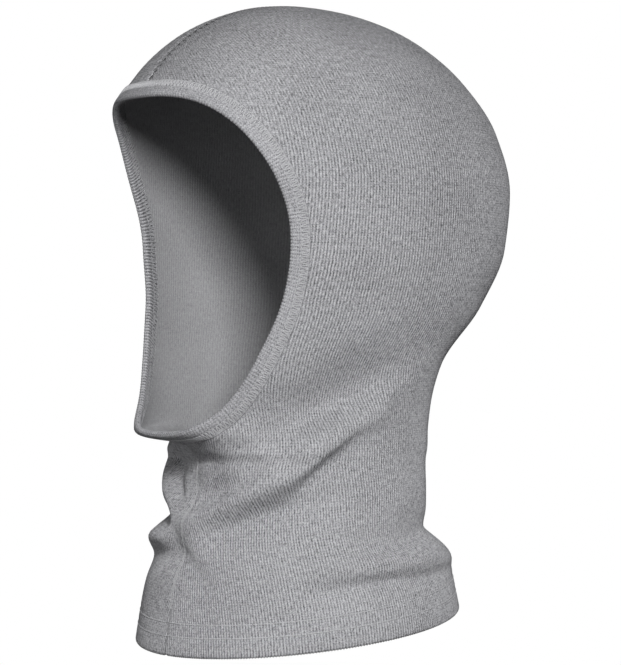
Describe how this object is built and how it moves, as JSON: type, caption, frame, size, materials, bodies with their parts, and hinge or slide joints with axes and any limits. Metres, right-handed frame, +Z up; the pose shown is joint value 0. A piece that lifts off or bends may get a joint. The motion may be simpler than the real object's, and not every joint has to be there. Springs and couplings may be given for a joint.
{
  "type": "balaclava",
  "caption": "Rib-knit balaclava in its worn shape: hood and loose neck sleeve with a bound face opening and a turned-up hem.",
  "frame": {"origin": "highest point inside the crown, where the top of the head touches the fabric", "axes": "+Z up, face opening towards -Y, wearer's left is +X"},
  "size_m": [0.171, 0.2198, 0.3256],
  "materials": {
    "knit": "fine melange rib knit, matt",
    "binding_rib": "folded rib strip, matt",
    "thread": "textured polyester sewing thread"
  },
  "bodies": {
    "root": {"left_panel": "knit", "right_panel": "knit", "face_binding": "binding_rib", "crown_seam_needle_thread": "thread", "crown_seam_overlock_thread": "thread", "neck_seam_needle_thread": "thread", "neck_seam_overlock_thread": "thread", "binding_needle_thread": "thread", "binding_looper_thread": "thread", "hem_lower_needle_thread": "thread", "hem_upper_needle_thread": "thread", "hem_looper_thread": "thread"}
  },
  "joints": []
}
